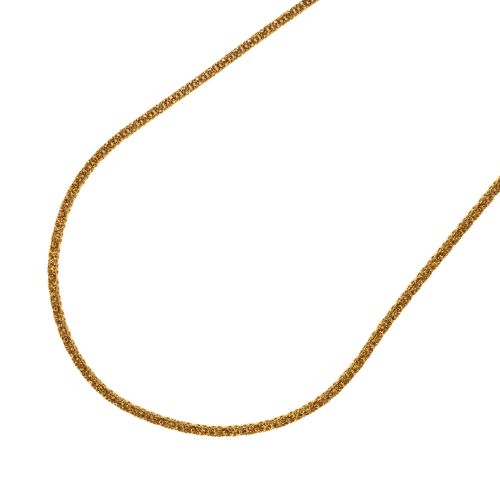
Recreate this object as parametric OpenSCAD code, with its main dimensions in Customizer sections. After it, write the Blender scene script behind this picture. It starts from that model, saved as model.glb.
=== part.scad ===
// A long necklace of fine gold chain, laid flat as a closed loop.
// The loop lies on the plane z = 0. The bend that hangs lowest when it is worn
// is at -Y, and the clasp is at +Y. All sizes are in millimetres.

/* [Chain] */
// Thickness of the chain across its links
chain_d = 3.1; // [2.6:0.1:3.6]
// Number of flat sides of the chain's envelope
chain_sides = 8; // [8, 12]
// Number of sections along the chain's envelope
chain_sections = 80; // [60:1:80]

/* [Clasp] */
// Diameter of the barrel in its middle
barrel_d = 3.6; // [3.2:0.1:4.0]
// Length of the barrel between its two eyes
barrel_l = 9; // [8:0.5:10]
// Diameter of the barrel where it meets an eye
barrel_end_d = 1.8; // [1.4:0.1:2.2]
// Diameter of the wire of an eye
eye_wire = 0.8; // [0.6:0.1:1.0]
// Diameter of an eye from outside to outside
eye_d = 3.2; // [2.8:0.1:3.4]

/* [Hidden] */
$fn = 48;

// The middle of the clasp, seen from above.
CLASP_MID = [1.5, 177.6];

// An eye's wire is sunk into the end of the barrel by this much.
eye_sink = eye_wire / 4;
eye_x = barrel_l / 2 - eye_sink + eye_d / 2;

// The chain's flat ends stand this far from the eyes that carry them.
end_gap = 0.1;
chain_end_x = eye_x + eye_d / 2 + end_gap;

// The line that the chain follows from one eye, round the loop, to the other,
// seen from above: columns x and y.
BEND = [
    [-12.5, 174.8], [-19, 169.5], [-23.5, 161],
    [-25, 149], [-25.3, 130], [-26, 100], [-27, 70], [-28.5, 35], [-31, 0], [-34, -25],
    [-37.5, -48], [-41.2, -70], [-44.4, -91], [-47.7, -110],
    [-49.7, -124], [-49.1, -136.5], [-45.1, -149], [-36, -162.5], [-23.5, -172],
    [-10, -177], [4, -177.5], [19, -172.3], [33, -163],
    [43.5, -149.8], [49, -135], [49.4, -121], [46.9, -106],
    [44.9, -91], [42.9, -71], [40.8, -48], [38, -20], [35.5, 10], [33, 45],
    [30.5, 80], [29, 110], [28, 135],
    [27.8, 149], [26.5, 161], [22, 169.5], [15.5, 174.8]
];
ROUTE = concat([CLASP_MID - [chain_end_x, 0]], BEND, [CLASP_MID + [chain_end_x, 0]]);

// One more point at each end, on the clasp, gives the chain its direction
// where it leaves an eye.
GUIDE = concat([CLASP_MID], ROUTE, [CLASP_MID]);

// A point on the smooth curve through b and c, at share t of the way, with a
// and d as the neighbours that set its direction at b and c.
function between(a, b, c, d, t) =
    0.5 * (2 * b + (c - a) * t + (2 * a - 5 * b + 4 * c - d) * pow(t, 2)
        + (3 * b - a - 3 * c + d) * pow(t, 3));

// The smooth curve through the route, in short straight steps.
STEPS = 8;
CURVE = concat(
    [for (i = [1 : len(GUIDE) - 3], k = [0 : STEPS - 1])
        between(GUIDE[i - 1], GUIDE[i], GUIDE[i + 1], GUIDE[i + 2], k / STEPS)],
    [GUIDE[len(GUIDE) - 2]]
);

// Distance along the curve of each of its points: a running sum of its steps.
STEP_LENGTHS = [for (i = [1 : len(CURVE) - 1]) norm(CURVE[i] - CURVE[i - 1])];
DISTANCES = [
    for (i = 0, s = 0; i < len(CURVE); s = s + (i < len(STEP_LENGTHS) ? STEP_LENGTHS[i] : 0), i = i + 1) s
];
chain_length = DISTANCES[len(DISTANCES) - 1];

// Tables for lookup(): distance along the chain against x and against y.
X_AT = [for (i = [0 : len(CURVE) - 1]) [DISTANCES[i], CURVE[i][0]]];
Y_AT = [for (i = [0 : len(CURVE) - 1]) [DISTANCES[i], CURVE[i][1]]];

// The middle of the chain at distance s from its first end.
function along(s) = [lookup(s, X_AT), lookup(s, Y_AT), chain_d / 2];

// The unit direction of the chain at distance s.
function heading(s) =
    let (reach = chain_d / 4, d = along(min(s + reach, chain_length)) - along(max(s - reach, 0)))
    d / norm(d);

// The corners of one section: a regular polygon whose flats lie chain_d apart,
// with one flat on the surface below.
function section(s) =
    let (t = heading(s), side = [t[1], -t[0], 0], corner_r = chain_d / 2 / cos(180 / chain_sides))
    [for (k = [0 : chain_sides - 1])
        let (a = 360 * (k + 0.5) / chain_sides)
        along(s) + corner_r * (cos(a) * side + sin(a) * [0, 0, 1])];

// The chain's envelope: sections joined by quads, with two flat ends.
module chain() {
    n = chain_sides;
    rings = [for (j = [0 : chain_sections - 1]) section(chain_length * j / (chain_sections - 1))];
    corners = [for (ring = rings, corner = ring) corner];
    walls = [for (j = [0 : chain_sections - 2], k = [0 : n - 1])
        [j * n + k, (j + 1) * n + k, (j + 1) * n + (k + 1) % n, j * n + (k + 1) % n]];
    start_face = [for (k = [0 : n - 1]) k];
    end_face = [for (k = [n - 1 : -1 : 0]) (chain_sections - 1) * n + k];
    color("goldenrod") polyhedron(points = corners, faces = concat([start_face], walls, [end_face]));
}

// The barrel narrows towards each end along an arc, over a quarter of its
// length. The arc's radius follows from its length and its drop.
shoulder_l = barrel_l / 4;
shoulder_drop = (barrel_d - barrel_end_d) / 2;
shoulder_r = (pow(shoulder_l, 2) + pow(shoulder_drop, 2)) / (2 * shoulder_drop);
shoulder_angle = asin(shoulder_l / shoulder_r);
ARC_STEPS = 8;

module barrel() {
    shoulder = [for (k = [0 : ARC_STEPS])
        let (a = shoulder_angle * k / ARC_STEPS)
        [barrel_d / 2 - shoulder_r * (1 - cos(a)), barrel_l / 2 - shoulder_l + shoulder_r * sin(a)]];
    other_shoulder = [for (k = [ARC_STEPS : -1 : 0]) [shoulder[k][0], -shoulder[k][1]]];
    rotate([0, 90, 0]) rotate_extrude()
        polygon(concat([[0, -barrel_l / 2]], other_shoulder, shoulder, [[0, barrel_l / 2]]));
}

// A closed ring of round wire that lies flat.
module eye() {
    rotate_extrude() translate([(eye_d - eye_wire) / 2, 0]) circle(d = eye_wire);
}

module clasp() {
    color("gold") translate([CLASP_MID[0], CLASP_MID[1], barrel_d / 2]) union() {
        barrel();
        for (side = [-1, 1]) translate([side * eye_x, 0, 0]) eye();
    }
}

chain();
clasp();
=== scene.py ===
# %% [markdown]
# # A long gold chain necklace, lying as a loop
#
# The real object is one very long chain of small round links, closed by a slim barrel
# clasp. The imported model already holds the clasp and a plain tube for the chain, each
# at its true size. This lesson keeps the clasp, gives it a finish, and replaces the
# tube with the real links.

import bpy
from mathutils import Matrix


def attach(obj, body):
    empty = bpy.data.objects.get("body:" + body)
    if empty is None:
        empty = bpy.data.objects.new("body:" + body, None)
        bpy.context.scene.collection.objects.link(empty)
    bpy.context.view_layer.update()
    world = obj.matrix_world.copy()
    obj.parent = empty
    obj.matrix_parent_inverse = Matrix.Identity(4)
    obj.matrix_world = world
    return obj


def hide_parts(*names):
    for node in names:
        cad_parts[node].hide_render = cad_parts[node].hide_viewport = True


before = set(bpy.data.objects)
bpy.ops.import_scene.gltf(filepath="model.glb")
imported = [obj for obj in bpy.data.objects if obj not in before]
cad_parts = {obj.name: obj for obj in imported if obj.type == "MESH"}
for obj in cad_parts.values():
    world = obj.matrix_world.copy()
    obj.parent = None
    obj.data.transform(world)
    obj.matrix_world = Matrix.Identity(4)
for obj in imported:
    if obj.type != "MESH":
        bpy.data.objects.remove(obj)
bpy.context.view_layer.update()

# %% Modules and units
import math

import bpy
import numpy as np

MM = 0.001
scene = bpy.context.scene
print("Blender", bpy.app.version_string, "and one millimetre is", MM)

# %% [markdown]
# ## The line the chain follows
#
# A maker would lay the chain on the bench and let it settle. Here the line is a short
# list of given points, the same as the tube's, joined by a smooth curve. A Bezier object
# could draw it too, but an array of points makes it easy to ask for the place and
# direction at any distance along the chain, which the links need.

# %% The route, in millimetres, seen from above: columns x and y
CLASP_MID = np.array([1.5, 177.6])
CHAIN_END_X = 7.6
BEND = np.array([
    [-12.5, 174.8], [-19, 169.5], [-23.5, 161],
    [-25, 149], [-25.3, 130], [-26, 100], [-27, 70], [-28.5, 35], [-31, 0], [-34, -25],
    [-37.5, -48], [-41.2, -70], [-44.4, -91], [-47.7, -110],
    [-49.7, -124], [-49.1, -136.5], [-45.1, -149], [-36, -162.5], [-23.5, -172],
    [-10, -177], [4, -177.5], [19, -172.3], [33, -163],
    [43.5, -149.8], [49, -135], [49.4, -121], [46.9, -106],
    [44.9, -91], [42.9, -71], [40.8, -48], [38, -20], [35.5, 10], [33, 45],
    [30.5, 80], [29, 110], [28, 135],
    [27.8, 149], [26.5, 161], [22, 169.5], [15.5, 174.8],
])
print("points between the two eyes:", len(BEND))

# %% A smooth curve through the route
STEPS = 60


def smooth_curve(points, steps):
    """Between b and c a cubic through both, whose slopes there are half of c - a and half of d - b."""
    a, b, c, d = points[:-3, None], points[1:-2, None], points[2:-1, None], points[3:, None]
    t = np.linspace(0, 1, steps, endpoint=False)[None, :, None]
    square, cube = 2 * a - 5 * b + 4 * c - d, 3 * b - a - 3 * c + d
    curve = 0.5 * (2 * b + (c - a) * t + square * t**2 + cube * t**3)
    return np.vstack([curve.reshape(-1, 2), points[-2:-1]])


to_eye = np.array([CHAIN_END_X, 0])
guide = np.vstack([CLASP_MID, CLASP_MID - to_eye, BEND, CLASP_MID + to_eye, CLASP_MID])
line = np.vstack([CLASP_MID, smooth_curve(guide, STEPS), CLASP_MID])
distance = np.concatenate([[0], np.cumsum(np.hypot(*np.diff(line, axis=0).T))]) - CHAIN_END_X
chain_length = distance[-1] - CHAIN_END_X
print("chain from eye to eye:", round(chain_length, 1), "mm")

# %% [markdown]
# ## One knot of the weave
#
# The chain is woven from knots of ten links. A core pair of rings stands upright in the
# middle. At each end two links fold back over the neck of the knot, and an outer pair
# passes through them and holds them. Each knot is turned a quarter turn from the one
# before, so that from above one knot shows the edge of its core, and the next one the
# place where its outer pairs meet.
#
# Modelling one link and copying it with constraints would work, but a knot is the same
# everywhere, so one ring of each kind is described by where its middle lies and how far
# its plane leans, and mirroring gives the rest. The rings are a little longer than they
# are wide, or the other way round, as soft gold links are after some wear. All lengths
# are in millimetres, with the chain along z.

# %% Sizes of the links
WIRE = 0.58
CORE_X, CORE_WIDE, CORE_LONG = 0.27, 1.30, 1.20
OUTER_X, OUTER_Z, OUTER_LEAN, OUTER_WIDE, OUTER_LONG = 0.78, 1.47, 0.409, 1.245, 1.325
FOLD_Y, FOLD_Z, FOLD_LEAN, FOLD_WIDE, FOLD_LONG = 0.88, 1.50, 0.46, 1.25, 1.19
END_X, END_Z, END_WIDE, END_LONG = 0.29, -0.33, 1.43, 1.53
print("wire:", WIRE, "mm, core ring:", round(2 * CORE_WIDE + WIRE, 2), "mm across")


# %% The ten rings of a knot
def knot_rings():
    """Rows of a middle and two half axes that span the plane, by mirroring one ring of each kind."""
    outer_out, outer_along = OUTER_LONG * math.sin(OUTER_LEAN), OUTER_LONG * math.cos(OUTER_LEAN)
    fold_out, fold_along = FOLD_LONG * math.sin(FOLD_LEAN), FOLD_LONG * math.cos(FOLD_LEAN)
    rows = []
    for side in (-1, 1):
        rows.append((side * CORE_X, 0, 0, 0, CORE_WIDE, 0, 0, 0, CORE_LONG))
        for end in (-1, 1):
            outer_long = (side * outer_out, 0, -end * outer_along)
            rows.append((side * OUTER_X, 0, end * OUTER_Z, 0, OUTER_WIDE, 0, *outer_long))
            fold_long = (0, side * fold_out, end * fold_along)
            rows.append((0, side * FOLD_Y, end * FOLD_Z, FOLD_WIDE, 0, 0, *fold_long))
    return np.array(rows, float)


def end_rings(end):
    """Two upright rings side by side, which join the knots to the flat eye of the clasp."""
    rows = [(side * END_X, 0, end * END_Z, 0, END_WIDE, 0, 0, 0, END_LONG) for side in (-1, 1)]
    return np.array(rows, float)


print("rings in a knot:", len(knot_rings()))

# %% The surface of a ring
RING_STEPS, WIRE_STEPS = 16, 6


def ring_surfaces(rows):
    """Ring of wire: the middle, plus a walk round the ellipse of the two half axes, plus the
    wire's radius along a direction that turns between outwards and the ring's normal."""
    a = np.linspace(0, 2 * np.pi, RING_STEPS, endpoint=False)[None, :, None, None]
    b = np.linspace(0, 2 * np.pi, WIRE_STEPS, endpoint=False)[None, None, :, None]
    c, wide, long = rows[:, None, None, 0:3], rows[:, None, None, 3:6], rows[:, None, None, 6:9]
    u = wide / np.linalg.norm(wide, axis=-1, keepdims=True)
    v = long / np.linalg.norm(long, axis=-1, keepdims=True)
    outward = np.cos(a) * u + np.sin(a) * v
    wire = WIRE / 2 * (np.cos(b) * outward + np.sin(b) * np.cross(u, v))
    return (c + np.cos(a) * wide + np.sin(a) * long + wire).reshape(len(rows), -1, 3)


def torus_faces(rows, columns):
    """Quads between neighbours on a grid that closes on itself both ways."""
    i, j = np.meshgrid(np.arange(rows), np.arange(columns), indexing="ij")
    i2, j2 = (i + 1) % rows, (j + 1) % columns
    corners_of_quads = [i * columns + j, i2 * columns + j, i2 * columns + j2, i * columns + j2]
    return np.stack(corners_of_quads, -1).reshape(-1, 4)


knot = ring_surfaces(knot_rings())
ring_quads = torus_faces(RING_STEPS, WIRE_STEPS)
print("faces in a ring:", len(ring_quads), "knot reaches:", np.abs(knot).max((0, 1)).round(2), "mm")

# %% [markdown]
# ## Carry the knots along the line
#
# Each point of a knot has a distance along the chain and an offset across it. The
# distance picks a place and a direction on the line, and the offset is measured from
# there, sideways and upwards. So the links lean with the bend, as they do on the bench.
# A ring bends with the line too, but by about a tenth of a millimetre at the very most.
# An object for each knot could be set down and turned by hand, but there are more than a
# hundred and fifty, and a function places them all at once.

# %% Place points along the chain
AXIS_HEIGHT = 1.89
HALF_CHORD = 1


def carry(points, along):
    """Point on the line at its own distance, plus x times the side direction and y times up. The
    side is square to the chord from half a chord before the point to half a chord after it."""
    s = along + points[..., 2]
    near, far = s - HALF_CHORD, s + HALF_CHORD
    tx = np.interp(far, distance, line[:, 0]) - np.interp(near, distance, line[:, 0])
    ty = np.interp(far, distance, line[:, 1]) - np.interp(near, distance, line[:, 1])
    size = np.hypot(tx, ty)
    x, y = points[..., 0], points[..., 1]
    px, py = np.interp(s, distance, line[:, 0]), np.interp(s, distance, line[:, 1])
    return np.stack([px + x * ty / size, py - x * tx / size, AXIS_HEIGHT + y], -1) * MM


def turn(points, angle):
    """Rotate x and y by the angle about the chain's own axis, and keep the distance along it."""
    c, s = np.cos(angle), np.sin(angle)
    x, y = points[..., 0], points[..., 1]
    return np.stack([c * x - s * y, s * x + c * y, points[..., 2]], -1)


print("middle of the chain, in metres:", carry(np.zeros(3), chain_length / 2).round(4))

# %% [markdown]
# A long chain never lies quite untwisted. It rolls a little as it settles, and makes a
# quarter turn in all by the time it reaches the clasp again. One angle for each knot
# would be a long list. A short table of how far the chain has rolled at a few distances
# is enough, with a small wander every few centimetres from a seeded draw.

# %% Where each knot lies and how far it is rolled
KNOT_PITCH, FIRST_KNOT = 4.833, 4.0
TWIST_AT = np.array([0, 290, 330, 420, 560, 786])
TWIST_DEG = np.array([0, 0, -9, -14, -14, -90])
WANDER_EVERY, WANDER_DEG = 40, 2.0
SEED = 7
chance = np.random.default_rng(SEED)
knot_count = round((chain_length - 2 * FIRST_KNOT) / KNOT_PITCH) + 1
centres = FIRST_KNOT + np.arange(knot_count) * KNOT_PITCH
wander_at = np.arange(0, chain_length + WANDER_EVERY, WANDER_EVERY)
away_from_ends = (wander_at > 0) * (wander_at < chain_length - WANDER_EVERY)
wander = chance.normal(0, WANDER_DEG, len(wander_at)) * away_from_ends
twist = np.radians(np.interp(centres, TWIST_AT, TWIST_DEG) + np.interp(centres, wander_at, wander))
print("knots:", knot_count, "links:", knot_count * len(knot))
print("last knot", round(chain_length - centres[-1], 2), "mm from the eye")

# %% [markdown]
# ## Build the chain
#
# Array and Curve modifiers could repeat a knot along a curve, but then every knot would be
# the same. Placing the points directly gives each knot its own roll and each link its own
# small shift, and one mesh can hold hundreds of links. The chain is split into a few
# meshes so that none of them grows too heavy. Two numbers ride on every point for the
# finish: "tone" is chance, the same all over one link, and "depth" is how far the point
# lies from the chain's own axis, which sets the painted shade and the roughness in the
# hollows.


# %% Put a mesh in the scene
def add_mesh(name, rings, depth):
    """A smooth mesh of closed rings at the origin, with its place in its vertices."""
    offset = (np.arange(len(rings)) * rings.shape[1])[:, None, None]
    quads = (ring_quads[None] + offset).reshape(-1, 4)
    mesh = bpy.data.meshes.new(name)
    mesh.from_pydata(rings.reshape(-1, 3).tolist(), [], quads.tolist())
    mesh.polygons.foreach_set("use_smooth", np.ones(len(quads), bool))
    tone = np.repeat(chance.random(len(rings)), rings.shape[1])
    for label, values in (("tone", tone), ("depth", depth.ravel())):
        mesh.attributes.new(label, "FLOAT", "POINT").data.foreach_set("value", values.astype(np.float32))
    mesh.update()
    piece = bpy.data.objects.new(name, mesh)
    scene.collection.objects.link(piece)
    return piece


# %% The knots, in four meshes
REACH = np.hypot(knot[..., 0], knot[..., 1]).max()
SLACK = 0.012
FIRST_QUARTER = 1
PARTS = 4


def from_axis(points):
    """Distance from the chain's own axis over the reach of the widest link."""
    return np.hypot(points[..., 0], points[..., 1]) / REACH


def chain_part(name, first, last):
    """The knots from first up to last, each turned a quarter more than the one before."""
    index = np.arange(first, last)
    angle = ((index + FIRST_QUARTER) * np.pi / 2 + twist[index])[:, None, None]
    copies = turn(knot + chance.normal(0, SLACK, (len(index), len(knot), 1, 3)), angle)
    placed = carry(copies, centres[index][:, None, None])
    return add_mesh(name, placed.reshape(-1, knot.shape[1], 3), from_axis(copies))


cuts = np.linspace(0, knot_count, PARTS + 1).astype(int)
pieces = [chain_part(f"chain_links_{i + 1}", cuts[i], cuts[i + 1]) for i in range(PARTS)]
print("knots in each mesh:", np.diff(cuts))

# %% The links that hold the clasp
left_end, right_end = ring_surfaces(end_rings(-1)), ring_surfaces(end_rings(1))
ends = np.concatenate([carry(left_end, 0), carry(right_end, chain_length)])
pieces.append(add_mesh("end_links", ends, from_axis(np.concatenate([left_end, right_end]))))
print("triangles:", {piece.name: len(piece.data.polygons) * 2 for piece in pieces})

# %% [markdown]
# ## A way to write shader maths
#
# Nodes can be placed by hand in the shader editor, but a formula is easier to read and to
# change. A small class wraps the output of a node, so that sums and products of outputs
# turn into Math nodes, and one method makes every other kind of node.


# %% Shader maths with ordinary operators
def set_stops(ramp, stops):
    """Give a new ramp its stops: pairs of place and colour, in rising order."""
    ramp[0].position, ramp[0].color = stops[0]
    ramp[1].position, ramp[1].color = stops[-1]
    for place, colour in stops[1:-1]:
        ramp.new(place).color = colour


class Socket:
    """An output in a node tree. Arithmetic with it adds a Math node and gives its output."""

    def __init__(self, tree, output=None):
        self.tree, self.output = tree, output

    def node(self, kind, settings=(), values=(), out=0):
        """Add a node: its settings first, then a value or a link for each socket, and give one output."""
        made = self.tree.nodes.new(kind)
        for name, value in dict(settings).items():
            if name == "stops":
                set_stops(made.color_ramp.elements, value)
            else:
                setattr(made, name, value)
        for name, value in dict(values).items():
            if isinstance(value, Socket):
                self.tree.links.new(value.output, made.inputs[name])
            else:
                made.inputs[name].default_value = value
        return Socket(self.tree, made.outputs[out])

    def math(self, operation, a, b):
        """The operation on a and b, each of which is a number or an output."""
        return self.node("ShaderNodeMath", {"operation": operation}, {0: a, 1: b})

    def __add__(self, other):
        return self.math("ADD", self, other)

    def __sub__(self, other):
        return self.math("SUBTRACT", self, other)

    def __rsub__(self, other):
        return self.math("SUBTRACT", other, self)

    def __mul__(self, other):
        return self.math("MULTIPLY", self, other)

    __radd__, __rmul__ = __add__, __mul__

    def between(self, low, high):
        """0 at low and below, 1 at high and above."""
        return self.node("ShaderNodeMapRange", {}, {0: self, 1: low, 2: high})

    def mix(self, first, second):
        """A colour that goes from first to second as this goes from 0 to 1."""
        return self.node("ShaderNodeMix", {"data_type": "RGBA"}, {0: self, 6: first, 7: second}, 2)


# %% Helpers for noise and materials
NOISE_DETAIL = 2.0


def noise(tree, scale, stretch=(1, 1, 1)):
    """Soft random bumps between 0 and 1 in the object's own coordinates."""
    start = Socket(tree)
    place = start.node("ShaderNodeTexCoord", out="Object")
    place = start.node("ShaderNodeVectorMath", {"operation": "MULTIPLY"}, {0: place, 1: stretch})
    return start.node("ShaderNodeTexNoise", {}, {"Vector": place, "Scale": scale, "Detail": NOISE_DETAIL})


def new_material(name, values):
    """A material and its Principled shader, whose sockets get the values."""
    material = bpy.data.materials.new(name)
    material.use_nodes = True
    shader = material.node_tree.nodes["Principled BSDF"]
    for label, value in values.items():
        shader.inputs[label].default_value = value
    return material, shader


def feed(shader, values):
    """Link each output to the shader's socket of that name."""
    for name, value in values.items():
        value.tree.links.new(value.output, shader.inputs[name])


# %% [markdown]
# ## The gold
#
# Yellow gold of about 18 carats takes a high polish, so it shows mostly what stands
# around it. A flat colour with one roughness would look like plastic from close by. What
# makes it real is small: the links differ a little in tone and polish, the hollows
# between them are rougher because the polishing wheel doesn't reach them, and no surface
# is quite even. The hollows also get a deeper, redder colour, a painted shade for the
# light that bounces there more than once.

# %% A polished gold for the links
METAL = {"Metallic": 1}
GOLD_CROWN = (0.92, 0.59, 0.145, 1)
# A darker, redder gold, painted into the hollows as shade.
GOLD_PAINTED_SHADE = (0.76, 0.40, 0.065, 1)
GOLD_PALE = (0.96, 0.675, 0.235, 1)
HOLLOW_BELOW, CROWN_ABOVE = 0.25, 0.75
LINK_BLOTCHES, LINK_GRAIN = 700, 2600
PALE_BY_TONE, PALE_BY_BLOTCH, PALE_LESS = 0.35, 0.5, 0.15
LINK_POLISH, ROUGH_BY_BLOTCH, ROUGH_BY_TONE, ROUGH_BY_HOLLOW = 0.08, 0.10, 0.05, 0.08
GRAIN_STRENGTH, BUMP_HEIGHT = 0.25, 0.00002


def link_finish():
    """Colour and roughness by depth, tone and noise, painted shade in the hollows, and a faint bump."""
    material, shader = new_material("gold_links", METAL)
    start = Socket(material.node_tree)
    tone = start.node("ShaderNodeAttribute", {"attribute_name": "tone"}, out="Fac")
    depth = start.node("ShaderNodeAttribute", {"attribute_name": "depth"}, out="Fac")
    blotch = noise(material.node_tree, LINK_BLOTCHES)
    # Towards the chain's axis the gold gets rougher and turns to the painted shade colour.
    hollow_shade_and_rough = 1 - depth.between(HOLLOW_BELOW, CROWN_ABOVE)
    pale = PALE_BY_TONE * tone + PALE_BY_BLOTCH * blotch - PALE_LESS
    colour = hollow_shade_and_rough.mix(pale.mix(GOLD_CROWN, GOLD_PALE), GOLD_PAINTED_SHADE)
    rough = LINK_POLISH + ROUGH_BY_BLOTCH * blotch + ROUGH_BY_TONE * tone + ROUGH_BY_HOLLOW * hollow_shade_and_rough
    grain = noise(material.node_tree, LINK_GRAIN)
    bump_values = {"Strength": GRAIN_STRENGTH, "Distance": BUMP_HEIGHT, "Height": grain}
    bump = start.node("ShaderNodeBump", {}, bump_values)
    feed(shader, {"Base Color": colour, "Roughness": rough, "Normal": bump})
    return material


link_gold = link_finish()
for piece in pieces:
    piece.data.materials.append(link_gold)
    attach(piece, "root")
    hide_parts("chain")
print("links:", link_gold.name, "with", len(link_gold.node_tree.nodes), "nodes")

# %% [markdown]
# The clasp is the same gold, but a barrel is polished on a wheel, which leaves fine lines
# along it. They could be cut into the mesh, but they are far too fine to show as shape.
# Noise that is stretched along the barrel and squeezed across it gives such lines, and
# they feed both the roughness and a faint bump.

# %% A polished gold for the clasp
CLASP_BLOTCHES, CLASP_LINES, LINE_STRETCH = 500, 900, (0.15, 6, 6)
CLASP_POLISH, ROUGH_BY_LINES = 0.12, 0.08
CLASP_PALE, LINE_STRENGTH = 0.6, 0.2


def clasp_finish():
    """Colour by noise, roughness by noise and lines, and the lines again as a faint bump."""
    material, shader = new_material("gold_clasp", METAL)
    start = Socket(material.node_tree)
    blotch = noise(material.node_tree, CLASP_BLOTCHES)
    lines = noise(material.node_tree, CLASP_LINES, LINE_STRETCH)
    rough = CLASP_POLISH + ROUGH_BY_BLOTCH * blotch + ROUGH_BY_LINES * lines
    bump_values = {"Strength": LINE_STRENGTH, "Distance": BUMP_HEIGHT, "Height": lines}
    bump = start.node("ShaderNodeBump", {}, bump_values)
    colour = (CLASP_PALE * blotch).mix(GOLD_CROWN, GOLD_PALE)
    feed(shader, {"Base Color": colour, "Roughness": rough, "Normal": bump})
    return material


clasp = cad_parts["clasp"]
clasp.data.materials.clear()
clasp.data.materials.append(clasp_finish())
print("clasp:", clasp.data.materials[0].name)

# %% [markdown]
# ## The bench
#
# The necklace lies on a sheet that is lit from below, as on a light table, so there is no
# shadow and the paper is pure white. This also gives the gold its look: the sides of the
# wires, which face down, mirror the white sheet, and their crowns mirror the dim room.
# A plain white floor under lamps would need far stronger lamps to burn out to white, and
# would then light the crowns too.

# %% The lit sheet
FLOOR_HALF = 4.0
WHITE = (1, 1, 1, 1)
LIT_PAPER = {
    "Base Color": (0.5, 0.5, 0.5, 1), "Roughness": 1.0, "Specular IOR Level": 0.0,
    "Emission Color": WHITE, "Emission Strength": 0.95,
}
floor_mesh = bpy.data.meshes.new("floor")
corners = [(FLOOR_HALF * x, FLOOR_HALF * y, 0) for x, y in ((-1, -1), (1, -1), (1, 1), (-1, 1))]
floor_mesh.from_pydata(corners, [], [(0, 1, 2, 3)])
floor = bpy.data.objects.new("floor", floor_mesh)
scene.collection.objects.link(floor)
paper = new_material("lit_table", LIT_PAPER)[0]
floor_mesh.materials.append(paper)
print("sheet:", 2 * FLOOR_HALF, "m wide, facing up:", floor_mesh.polygons[0].normal.z > 0)

# %% [markdown]
# Under a real chain the paper gets less light, and what it gets has bounced off gold. The
# lit sheet alone would shine through every gap between the links as if nothing lay on
# it. A ribbon that follows the chain, darker and warmer in the middle and as white as
# the sheet at its edges, puts that right. Its rows of points run across the chain, and a
# number on each point says how much shade there is. It fades out near each end.

# %% The shape of the shade under the chain
SHADE_AT = np.array([-1.7, -1.1, -0.6, 0, 0.6, 1.1, 1.7])
SHADE = np.array([0, 0.3, 1, 1, 1, 0.3, 0])
SHADE_Z, FADE_LENGTH, FADE_START = 0.01, 5.0, 0.3
ribbon_rows = int(chain_length)
along_chain = np.linspace(0, chain_length, ribbon_rows)
from_end = np.minimum(along_chain, chain_length - along_chain)
fade = np.clip(from_end / FADE_LENGTH - FADE_START, 0, 1)
ribbon = np.zeros((len(along_chain), len(SHADE_AT), 3))
ribbon[..., 0], ribbon[..., 1] = SHADE_AT, SHADE_Z - AXIS_HEIGHT
ribbon = carry(ribbon, along_chain[:, None])
i, j = np.meshgrid(np.arange(len(along_chain) - 1), np.arange(len(SHADE_AT) - 1), indexing="ij")
i, j = i.ravel(), j.ravel()
corner = i * len(SHADE_AT) + j
ribbon_quads = np.stack([corner, corner + 1, corner + 1 + len(SHADE_AT), corner + len(SHADE_AT)], -1)
shade_mesh = bpy.data.meshes.new("sheet_shade")
shade_mesh.from_pydata(ribbon.reshape(-1, 3).tolist(), [], ribbon_quads.tolist())
shade_amount = np.outer(fade, SHADE).ravel().astype(np.float32)
shade_mesh.attributes.new("shade", "FLOAT", "POINT").data.foreach_set("value", shade_amount)
shade = bpy.data.objects.new("sheet_shade", shade_mesh)
scene.collection.objects.link(shade)
print("shade:", len(shade_mesh.polygons), "faces, facing up:", shade_mesh.polygons[0].normal.z > 0)

# %% The finish of the shade
SHADE_COLOUR = (0.66, 0.52, 0.31, 1)
shaded, shaded_shader = new_material("shaded_table", LIT_PAPER)
amount = Socket(shaded.node_tree).node("ShaderNodeAttribute", {"attribute_name": "shade"}, out="Fac")
feed(shaded_shader, {"Emission Color": amount.mix(WHITE, SHADE_COLOUR)})
shade_mesh.materials.append(shaded)
print("shade colour:", SHADE_COLOUR[:3])

# %% [markdown]
# ## The room
#
# Polished gold has next to no colour of its own in the dark: it shows a gold picture of
# the room. A grey room would give dull, greenish crowns. A photographed room could light
# it, but it would be one more file to carry. A plain dome is enough here. It is warm and
# dim, a little brighter near the horizon than overhead, so that a crown darkens smoothly
# towards its top.

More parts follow.
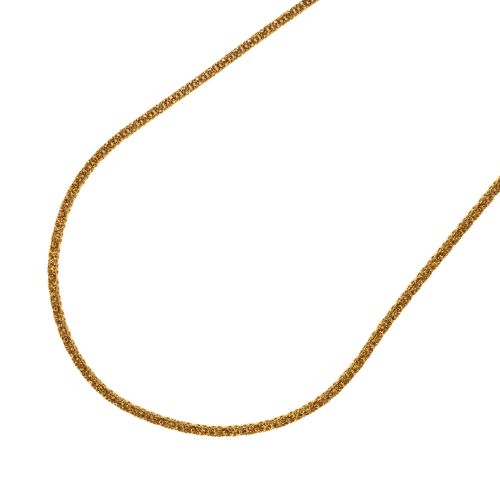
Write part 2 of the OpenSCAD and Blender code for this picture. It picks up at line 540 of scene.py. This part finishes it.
# %% A warm, dim dome
DOME_STOPS = [
    (0.0, (0.27, 0.205, 0.12, 1)),
    (0.35, (0.17, 0.115, 0.05, 1)),
    (0.9, (0.12, 0.073, 0.028, 1)),
]
world = bpy.data.worlds.new("studio")
world.use_nodes = True
scene.world = world
start = Socket(world.node_tree)
direction = start.node("ShaderNodeTexCoord", out="Generated")
upward = start.node("ShaderNodeSeparateXYZ", {}, {0: direction}, "Z")
dome = start.node("ShaderNodeValToRGB", {"stops": DOME_STOPS}, {0: upward})
sky = world.node_tree.nodes["Background"]
sky.inputs["Strength"].default_value = 1.0
feed(sky, {"Color": dome})
scene.view_settings.view_transform = "Standard"
print("dome stops:", [place for place, colour in DOME_STOPS])

# %% [markdown]
# ## The lights
#
# The bright specks on the links are pictures of lamps. One big lamp would give every ring
# one broad white stripe. Three small soft boxes, on the left, on the right and in front,
# give each ring a few small specks on different sides, whichever way it is turned.

# %% Soft boxes
BOX_FAR, BOX_SIZE = 0.9, 0.18
LOOP_POINT = np.array([0, -0.05, 0])


def soft_box(name, azimuth, elevation, power):
    """An area light on a sphere round a point inside the loop, facing that point."""
    data = bpy.data.lights.new(name, "AREA")
    data.shape, data.size, data.energy = "SQUARE", BOX_SIZE, power
    box = bpy.data.objects.new(name, data)
    a, e = math.radians(azimuth), math.radians(elevation)
    away = np.array([math.cos(e) * math.cos(a), math.cos(e) * math.sin(a), math.sin(e)])
    box.location = tuple(BOX_FAR * away + LOOP_POINT)
    box.rotation_euler = (math.pi / 2 - e, 0, a + math.pi / 2)
    scene.collection.objects.link(box)


soft_box("box_left", azimuth=160, elevation=42, power=1.15)
soft_box("box_right", azimuth=20, elevation=50, power=0.9)
soft_box("box_front", azimuth=270, elevation=35, power=1.0)

# %% [markdown]
# ## The view
#
# The camera looks straight down, turned by 45 degrees, and sees only the lower part of the
# loop, so that both arms run out of the picture. A short lens would show the sides of the
# links near the edges of the picture. A long one from further away keeps the pattern the
# same all over. Its distance follows from the width that it has to show.

# %% Camera
VIEW_WIDTH, VIEW_MID, VIEW_TURN = 0.150, (0.0021, -0.117), 45
LENS, SENSOR = 120.0, 36.0
camera_data = bpy.data.cameras.new("camera")
camera_data.lens, camera_data.sensor_width = LENS, SENSOR
camera = bpy.data.objects.new("camera", camera_data)
height = VIEW_WIDTH * LENS / SENSOR + AXIS_HEIGHT * MM
camera.location = (*VIEW_MID, height)
camera.rotation_euler = (0, 0, math.radians(VIEW_TURN))
scene.collection.objects.link(camera)
scene.camera = camera
print("camera", round(height, 3), "m above the sheet")
